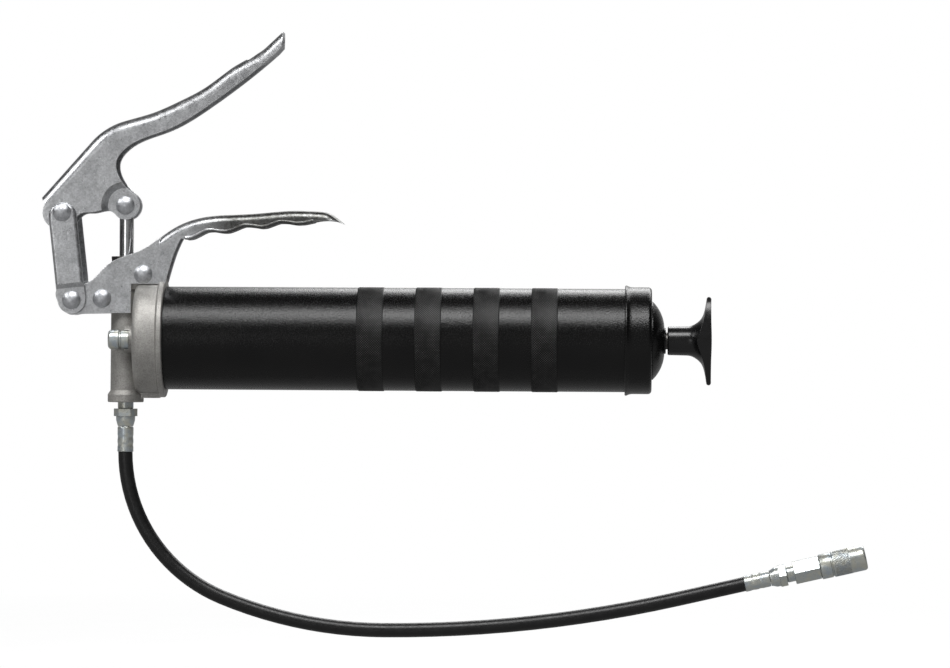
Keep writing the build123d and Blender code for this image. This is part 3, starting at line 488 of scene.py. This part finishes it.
def tube_along(line, radius, around):
    """Points and faces of a round bar along a line of points, with pointed ends."""
    point_length = 0.7 * radius
    steep = 0.9
    points = []
    faces = []
    last = len(line) - 1
    for index, centre in enumerate(line):
        run = (line[min(index + 1, last)] - line[max(index - 1, 0)]).normalized()
        if abs(run.y) > steep:
            first = run.orthogonal().normalized()
        else:
            first = run.cross(Vector((0, 1, 0))).normalized()
        second = run.cross(first)
        for step in range(around):
            angle = 2 * pi * step / around
            points.append(centre + radius * (first * cos(angle) + second * sin(angle)))
    for index in range(last):
        for step in range(around):
            after = (step + 1) % around
            faces.append((
                index * around + step,
                index * around + after,
                (index + 1) * around + after,
                (index + 1) * around + step,
            ))
    for index, neighbour in ((0, line[1]), (last, line[last - 1])):
        tip = len(points)
        points.append(line[index] + (line[index] - neighbour).normalized() * point_length)
        for step in range(around):
            faces.append((tip, index * around + step, index * around + (step + 1) % around))
    return points, faces


def node_points(node):
    return [v.co.copy() for v in frame["nodes"][node].data.vertices]


def reach_on_axis(node, origin, axis):
    """Lowest and highest distance along the axis and the largest radius of a CAD node."""
    axis = Vector(axis).normalized()
    distances = []
    radii = []
    for point in node_points(node):
        offset = point - Vector(origin)
        along = offset.dot(axis)
        distances.append(along)
        radii.append((offset - axis * along).length)
    return min(distances), max(distances), max(radii)


def joint(name):
    return next(j for j in frame["joints"] if j["name"] == name)


# ---------------------------------------------------------------- barrel and the grip's rolled edge
def barrel():
    """The barrel tube with a rolled thread, and diamond knurling let into its proud bands."""
    pitch = 1.35 * MM
    depth = 0.40 * MM
    proud = 0.05 * MM
    recess = 0.60 * MM
    band_skin = 0.5 * MM
    knurl_fade = 0.5 * MM
    thread_pitch = 1.25 * MM
    thread_depth = 0.45 * MM
    thread_runout = 0.3 * MM
    end_chamfer = 0.2 * MM
    at_face = 0.01 * MM
    at_radius = 0.02 * MM
    tube_segments = 192
    steps_per_thread = 6
    steps_per_diamond = 4
    tube = node_points("barrel_tube")
    start = min(p.x for p in tube)
    end = max(p.x for p in tube)
    crown = max(hypot(p.y, p.z) for p in tube)
    at_end = [hypot(p.y, p.z) for p in tube if p.x > end - at_face]
    tube_r = max(at_end)
    bore_r = min(at_end)
    thread_r = max(hypot(p.y, p.z) for p in tube if p.x < start + at_face)
    thread_end = min(p.x for p in tube if abs(hypot(p.y, p.z) - tube_r) < at_radius)
    band_edges = sorted({round(p.x, 5) for p in tube if hypot(p.y, p.z) > crown - at_radius})
    bands = list(zip(band_edges[::2], band_edges[1::2]))

    profile = [(start, bore_r)]
    steps = round((thread_end - start) / (thread_pitch / steps_per_thread))
    for step in range(steps + 1):
        profile.append((start + (thread_end - start) * step / steps, thread_r))
    profile.append((thread_end, tube_r))
    for low, high in bands:
        profile += [(low, tube_r), (low, crown - recess), (high, crown - recess), (high, tube_r)]
    profile += [(end - end_chamfer, tube_r), (end, tube_r - end_chamfer), (end, bore_r)]

    def thread(along, angle, radius):
        if abs(radius - thread_r) > 1e-6 or along > thread_end - thread_runout:
            return radius
        turn = along / thread_pitch - angle / (2 * pi)
        return thread_r - thread_depth * abs(2 * (turn % 1) - 1)

    points, faces = turned(profile, (0, 0, 0), (1, 0, 0), tube_segments, thread)
    shell = new_piece("barrel_shell", points, faces, "powder_coat", "barrel")
    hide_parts("barrel_tube")

    for number, (low, high) in enumerate(bands, 1):
        columns = round((high - low) / (pitch / steps_per_diamond))
        teeth = round(2 * pi * crown / pitch)

        def ridge(along, angle, radius, low=low, high=high, teeth=teeth):
            if radius < crown:
                return radius
            fade = min(1.0, min(along - low, high - along) / knurl_fade)
            lean = 2 * pi * (along - low) / pitch
            left = abs(sin((angle * teeth + lean) / 2))
            right = abs(sin((angle * teeth - lean) / 2))
            return crown + proud - depth * (1 - fade * min(left, right))

        under = crown - band_skin
        profile = [(low, under)]
        for step in range(columns + 1):
            profile.append((low + (high - low) * step / columns, crown))
        profile.append((high, under))
        segments = steps_per_diamond * teeth
        points, faces = turned(profile, (0, 0, 0), (1, 0, 0), segments, ridge)
        name = f"knurled_band_{number}"
        band = new_piece(name, points, faces, "knurled_coat", "barrel")
        rise = band.data.attributes.new("rise", "FLOAT", "POINT")
        for vertex, value in zip(band.data.vertices, rise.data):
            value.value = 1 - (crown + proud - hypot(vertex.co.y, vertex.co.z)) / depth


def rolled_grip_edge():
    """The scalloped lower edges of the grip's handle, rolled outward for the fingers."""
    bead_r = 1.1 * MM
    step = 2.4 * MM
    at_side = 0.05 * MM
    tip_length = 15 * MM
    stray_height = 0.7 * MM
    bead_inset = 0.35 * bead_r
    bead_lift = 0.7 * bead_r
    grip = node_points("grip")
    side = max(p.y for p in grip)
    handle_start = 33 * MM
    handle_end = max(p.x for p in grip) - tip_length
    lowest = {}
    for point in grip:
        if point.y > side - at_side and handle_start < point.x < handle_end:
            column = round(point.x / step)
            if column not in lowest or point.z < lowest[column].z:
                lowest[column] = point
    knots = [lowest[column] for column in sorted(lowest)]
    # a column with no vertex on the edge stands out above its neighbours and is left out
    for index in range(len(knots) - 2, 0, -1):
        between = (knots[index - 1].z + knots[index + 1].z) / 2
        if knots[index].z > between + stray_height:
            del knots[index]
    edge = smooth_line(knots, 6)
    for name, way in (("front", -1), ("back", 1)):
        line = [Vector((p.x, way * (side - bead_inset), p.z + bead_lift)) for p in edge]
        points, faces = tube_along(line, bead_r, 12)
        new_piece(f"rolled_edge_{name}", points, faces, "grip_zinc_painted_shade", "head")


# ---------------------------------------------------------------- springs
def spring(node, body, origin, axis, wire_r, turns, room=0.0):
    """A wound spring with closed end coils in place of a CAD coil.

    room is left free at its far end, for a piece that moves there by another joint.
    """
    closed = 1.6
    coil_gap = 1.02
    nudge = 0.01
    axis, first, second = cross_axes(axis)
    low, high, outer = reach_on_axis(node, origin, axis)
    high -= room
    mean = outer - wire_r
    start = low + wire_r
    end = high - wire_r
    steps = 28
    around = 8
    total = turns * steps
    free = turns - closed
    points = []
    faces = []

    def place(turn):
        """Centre of the wire after a number of turns, nearly flat in the end coils."""
        dead = closed / 2
        squeezed = 2 * wire_r * coil_gap
        if turn < dead:
            along = start + squeezed * turn
        elif turn > turns - dead:
            along = end - squeezed * (turns - turn)
        else:
            inner_start = start + squeezed * dead
            inner_end = end - squeezed * dead
            along = inner_start + (inner_end - inner_start) * (turn - dead) / free
        angle = 2 * pi * turn
        return Vector(origin) + axis * along + (first * cos(angle) + second * sin(angle)) * mean

    for step in range(total + 1):
        turn = step / steps
        centre = place(turn)
        ahead = place(min(turn + nudge, turns)) - place(max(turn - nudge, 0))
        ahead.normalize()
        offset = centre - Vector(origin)
        outward = offset - axis * offset.dot(axis)
        outward.normalize()
        side = ahead.cross(outward).normalized()
        for corner in range(around):
            angle = 2 * pi * corner / around
            points.append(centre + (outward * cos(angle) + side * sin(angle)) * wire_r)
    for step in range(total):
        for corner in range(around):
            after = (corner + 1) % around
            faces.append((
                step * around + corner,
                step * around + after,
                (step + 1) * around + after,
                (step + 1) * around + corner,
            ))
    faces.append(tuple(range(around)))
    faces.append(tuple(total * around + corner for corner in range(around)))
    piece = new_piece(f"wound_{node}", points, faces, "spring_steel", body)
    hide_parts(node)
    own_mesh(piece)


def box_middle(node):
    low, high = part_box(node)
    return (low + high) / 2


def make_springs():
    pump = box_middle("return_spring")
    spring("return_spring", "head", (pump.x, pump.y, 0), (0, 0, 1),
           wire_r=0.6 * MM, turns=7)
    valve = box_middle("check_spring")
    spring("check_spring", "head", (valve.x, valve.y, 0), (0, 0, 1),
           wire_r=0.3 * MM, turns=5)
    filler = box_middle("filler_spring")
    spring("filler_spring", "head", (0, filler.y, filler.z), (1, 0, 0),
           wire_r=0.25 * MM, turns=6)
    long_one = box_middle("follower_spring")
    spring("follower_spring", "barrel", (0, long_one.y, long_one.z), (1, 0, 0),
           wire_r=1.1 * MM, turns=13)
    turn = joint("coupler_sleeve_turn")
    seal_gap = 0.05 * MM
    spring("coupler_spring", "hose", turn["pos_m"], turn["axis"],
           wire_r=0.35 * MM, turns=6,
           room=joint("jaw_press")["range_m"][1] + seal_gap)


# ---------------------------------------------------------------- coupler sleeve
def coupler_sleeve():
    """The sleeve with its plain collar, knurled band, groove and rolled mouth."""
    turn = joint("coupler_sleeve_turn")
    low, high, crown = reach_on_axis("coupler_sleeve", turn["pos_m"], turn["axis"])
    length = high - low
    pitch = 1.0 * MM
    knurl_depth = 0.26 * MM
    knurl_fade = 0.4 * MM
    at_crown = 0.05 * MM
    steps_per_diamond = 6
    knurl_low = low + 0.30 * length
    knurl_high = low + 0.66 * length
    turns = round(2 * pi * crown / pitch)
    segments = steps_per_diamond * turns

    def ridge(along, angle, radius):
        if not (knurl_low < along < knurl_high) or radius < crown - at_crown:
            return radius
        fade = min(1.0, min(along - knurl_low, knurl_high - along) / knurl_fade)
        lean = 2 * pi * (along - knurl_low) / pitch
        left = abs(sin((angle * turns + lean) / 2))
        right = abs(sin((angle * turns - lean) / 2))
        return radius - knurl_depth * fade * (1 - min(left, right) ** 0.7)

    bore = 5.62 * MM
    mouth_r = 5.15 * MM
    cone_r = 6.07 * MM
    shelf = low + 8.9 * MM
    outer = [
        (low, crown - 0.9 * MM),
        (low + 0.25 * MM, crown - 0.45 * MM),
        (low + 0.7 * MM, crown - 0.2 * MM),
        (knurl_low - 1.6 * MM, crown - 0.2 * MM),
        (knurl_low - 1.35 * MM, crown - 0.65 * MM),
        (knurl_low - 0.75 * MM, crown - 0.65 * MM),
        (knurl_low - 0.45 * MM, crown - 0.12 * MM),
    ]
    columns = round((knurl_high - knurl_low) / (pitch / steps_per_diamond))
    for step in range(columns + 1):
        outer.append((knurl_low + (knurl_high - knurl_low) * step / columns, crown))
    outer += [
        (knurl_high + 0.3 * MM, crown - 0.12 * MM),
        (high - 1.6 * MM, crown - 0.12 * MM),
        (high - 0.9 * MM, crown - 0.28 * MM),
        (high - 0.35 * MM, crown - 0.62 * MM),
        (high - 0.06 * MM, crown - 1.05 * MM),
        (high, crown - 1.5 * MM),
    ]
    inner = [
        (high - 0.1 * MM, mouth_r),
        (high - 0.9 * MM, mouth_r),
        (high - 6.1 * MM, cone_r),
        (shelf, cone_r),
        (shelf, bore),
        (low, bore),
    ]
    points, faces = turned(outer + inner, turn["pos_m"], turn["axis"], segments, ridge)
    piece = new_piece("knurled_sleeve", points, faces, "bright_zinc", "sleeve")
    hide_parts("coupler_sleeve")


# ---------------------------------------------------------------- crimped ferrules
def crimped_ferrule(node, origin, axis, wide_end_first):
    """A pressed ferrule: a rolled lip, a faint waist at each crimp and eight die marks."""
    low, high, crown = reach_on_axis(node, origin, axis)
    inner = crown - 0.55 * MM
    length = high - low
    under_lip = 0.16 * MM
    waists = (0.28, 0.58)  # shares of the length, from the lip
    waist_half = 0.09
    waist_depth = 0.17 * MM
    lip_end = 0.05
    lip_drop = 0.3 * MM
    nose_start = 0.93
    nose_drop = 0.25 * MM
    die_count = 8
    die_depth = 0.06 * MM
    die_sharpness = 6
    outer = []
    count = 40
    for step in range(count + 1):
        share = step / count
        from_lip = share if wide_end_first else 1 - share
        radius = crown - under_lip
        for waist in waists:
            radius -= waist_depth * max(0.0, 1 - ((from_lip - waist) / waist_half) ** 2)
        if from_lip < lip_end:
            radius = crown - lip_drop * (1 - from_lip / lip_end) ** 2
        if from_lip > nose_start:
            radius -= nose_drop * ((from_lip - nose_start) / (1 - nose_start)) ** 2
        outer.append((low + length * share, radius))
    profile = outer + [(high, inner), (low, inner)]

    def dies(along, angle, radius):
        if radius <= inner:
            return radius
        from_lip = (along - low) / length if wide_end_first else (high - along) / length
        if not 0.12 < from_lip < 0.86:
            return radius
        return radius - die_depth * max(0.0, cos(die_count * angle)) ** die_sharpness

    points, faces = turned(profile, origin, axis, 64, dies)
    body = frame["nodes"][node]["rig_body"]
    piece = new_piece(f"crimped_{node}", points, faces, "bright_zinc", body)
    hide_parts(node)


def make_ferrules():
    turn = joint("coupler_sleeve_turn")
    crimped_ferrule("coupler_ferrule", turn["pos_m"], turn["axis"], True)
    crimped_ferrule("head_ferrule", (0, 0, 0), (0, 0, 1), True)


# ---------------------------------------------------------------- stage, camera and lights
def make_floor():
    """A wide pale floor that fades to plain white far away. Reflections see it as dim."""
    lowest = cad_box[0].z
    n = Nodes("pale_floor")
    length = n.tree.nodes.new("ShaderNodeVectorMath")
    length.operation = "LENGTH"
    n.link(n.place, length.inputs[0])
    far = n.ramp(n.math("DIVIDE", length.outputs["Value"], 2.0), 0.45, 1.0, 0.1, 0.6)
    tone = n.ramp(n.noise(60.0, 4.0, 0.6), 0.94, 0.97, 0.35, 0.65)
    n.finish(tone, 0.0, 0.75, [(n.noise(2.0, 2.0, 0.5), 0.02)], 0.0)
    glow = n.tree.nodes.new("ShaderNodeEmission")
    glow.inputs["Strength"].default_value = 1.0
    blend = n.tree.nodes.new("ShaderNodeMixShader")
    output = n.tree.nodes["Material Output"]
    n.link(far, blend.inputs["Fac"])
    n.link(n.shader.outputs["BSDF"], blend.inputs[1])
    n.link(glow.outputs["Emission"], blend.inputs[2])
    dim = n.tree.nodes.new("ShaderNodeEmission")
    dim.inputs["Strength"].default_value = floor_in_reflections
    path = n.tree.nodes.new("ShaderNodeLightPath")
    choice = n.tree.nodes.new("ShaderNodeMixShader")
    n.link(path.outputs["Is Camera Ray"], choice.inputs["Fac"])
    n.link(dim.outputs["Emission"], choice.inputs[1])
    n.link(blend.outputs["Shader"], choice.inputs[2])
    n.link(choice.outputs["Shader"], output.inputs["Surface"])
    rings = [0.0, 0.4, 1.0, 2.0, 4.0, 9.0, 20.0]
    sides = 64
    points = [(0, 0, 0)]
    faces = []
    for ring_index, radius in enumerate(rings[1:]):
        for step in range(sides):
            angle = 2 * pi * step / sides
            points.append((radius * cos(angle), radius * sin(angle), 0))
        for step in range(sides):
            after = (step + 1) % sides
            here = 1 + ring_index * sides
            if ring_index == 0:
                faces.append((0, here + step, here + after))
            else:
                before = here - sides
                faces.append((before + step, here + step, here + after, before + after))
    mesh = bpy.data.meshes.new("floor")
    mesh.from_pydata(points, [], faces)
    mesh.materials.append(n.material)
    floor = bpy.data.objects.new("floor", mesh)
    floor.location = (floor_middle_x, 0, lowest - floor_drop)
    bpy.context.scene.collection.objects.link(floor)


def make_world():
    """White to the camera. Reflections see it brightest behind the object, darkest at the sides."""
    world = bpy.data.worlds.new("studio")
    bpy.context.scene.world = world
    world.use_nodes = True
    tree = world.node_tree
    tree.nodes.clear()

    def node(kind, **settings):
        made = tree.nodes.new(kind)
        for key, value in settings.items():
            setattr(made, key, value)
        return made

    def ramp(value, stops):
        made = node("ShaderNodeValToRGB")
        while len(made.color_ramp.elements) < len(stops):
            made.color_ramp.elements.new(0.5)
        for element, (position, grey) in zip(made.color_ramp.elements, stops):
            element.position = position
            element.color = as_colour(grey)
        tree.links.new(value, made.inputs["Fac"])
        return made.outputs["Color"]

    def combine(operation, *values):
        made = node("ShaderNodeMath", operation=operation)
        for socket, value in zip(made.inputs, values):
            if isinstance(value, (int, float)):
                socket.default_value = value
            else:
                tree.links.new(value, socket)
        return made.outputs["Value"]

    coords = node("ShaderNodeTexCoord")
    parts = node("ShaderNodeSeparateXYZ")
    tree.links.new(coords.outputs["Generated"], parts.inputs[0])
    sideways = combine("ABSOLUTE", parts.outputs["X"])
    upward = combine("MULTIPLY_ADD", parts.outputs["Z"], 0.5, 0.5)
    backward = combine("MULTIPLY_ADD", parts.outputs["Y"], 0.5, 0.5)
    # each stop is a position and a grey
    side_stops = [(0.0, 1.0), (0.35, 0.85), (0.62, 0.35), (0.85, 0.20)]
    height_stops = [(0.0, 0.55), (0.30, 0.30), (0.50, 0.62), (0.62, 0.62), (0.85, 0.28), (1.0, 0.22)]
    depth_stops = [(0.0, 0.95), (0.35, 0.60), (0.55, 0.50), (0.80, 1.2), (1.0, 2.0)]
    side_tone = ramp(sideways, side_stops)
    height_tone = ramp(upward, height_stops)
    depth_tone = ramp(backward, depth_stops)
    product = combine("MULTIPLY", combine("MULTIPLY", side_tone, height_tone), depth_tone)
    surroundings = node("ShaderNodeBackground")
    tree.links.new(product, surroundings.inputs["Color"])
    surroundings.inputs["Strength"].default_value = 0.50
    plain = node("ShaderNodeBackground")
    plain.inputs["Color"].default_value = (1, 1, 1, 1)
    plain.inputs["Strength"].default_value = 1.0
    path = node("ShaderNodeLightPath")
    mix = node("ShaderNodeMixShader")
    tree.links.new(path.outputs["Is Camera Ray"], mix.inputs["Fac"])
    tree.links.new(surroundings.outputs["Background"], mix.inputs[1])
    tree.links.new(plain.outputs["Background"], mix.inputs[2])
    output = node("ShaderNodeOutputWorld")
    tree.links.new(mix.outputs["Shader"], output.inputs["Surface"])


def soft_light(name, centre, direction, distance, width, height, power):
    """An area light at a distance from the centre, facing it."""
    light = bpy.data.lights.new(name, "AREA")
    light.shape = "RECTANGLE"
    light.size = width
    light.size_y = height
    light.energy = power
    lamp = bpy.data.objects.new(name, light)
    direction = Vector(direction).normalized()
    lamp.location = centre + direction * distance
    lamp.rotation_mode = "QUATERNION"
    lamp.rotation_quaternion = direction.to_track_quat("Z", "Y")
    lamp.visible_camera = False
    bpy.context.scene.collection.objects.link(lamp)


def make_lights():
    centre = (cad_box[0] + cad_box[1]) / 2
    key_height = radians(56)
    key_way = (0, -cos(key_height), sin(key_height))
    soft_light("key", centre, key_way, distance=2.0, width=1.35, height=0.8, power=38)
    soft_light("left", centre, (-0.80, -0.42, 0.62), distance=2.2, width=0.9, height=0.8, power=14)
    soft_light("front", centre, (-0.45, -1.0, 0.0), distance=3.0, width=0.9, height=1.2, power=8)
    soft_light("back", centre, (0.3, 1.0, 0.9), distance=2.2, width=1.6, height=1.0, power=26)


def make_camera():
    """A long lens level with the barrel and a little to the right, as in a product shot."""
    camera = bpy.data.cameras.new("camera")
    camera.sensor_width = 36.0
    camera.lens = 180.8
    camera.clip_start = 0.1
    camera.clip_end = 60.0
    rig = bpy.data.objects.new("camera", camera)
    # the barrel axis is at z = 0 and the pump axis at x = 0
    station = Vector((0.2756, -2.646, 0.0))
    target = Vector((0.1941, 0.0, 0.0032))
    roll = radians(0.34)
    aim = (target - station).to_track_quat("-Z", "Y")
    rig.rotation_mode = "QUATERNION"
    rig.rotation_quaternion = aim @ Quaternion((0, 0, 1), roll)
    rig.location = station
    bpy.context.scene.collection.objects.link(rig)
    bpy.context.scene.camera = rig


barrel()
rolled_grip_edge()
make_springs()
coupler_sleeve()
make_ferrules()
make_floor()
make_world()
make_lights()
make_camera()
bpy.context.scene.view_settings.view_transform = "Standard"
bpy.context.scene.view_settings.look = "None"

bpy.context.view_layer.update()
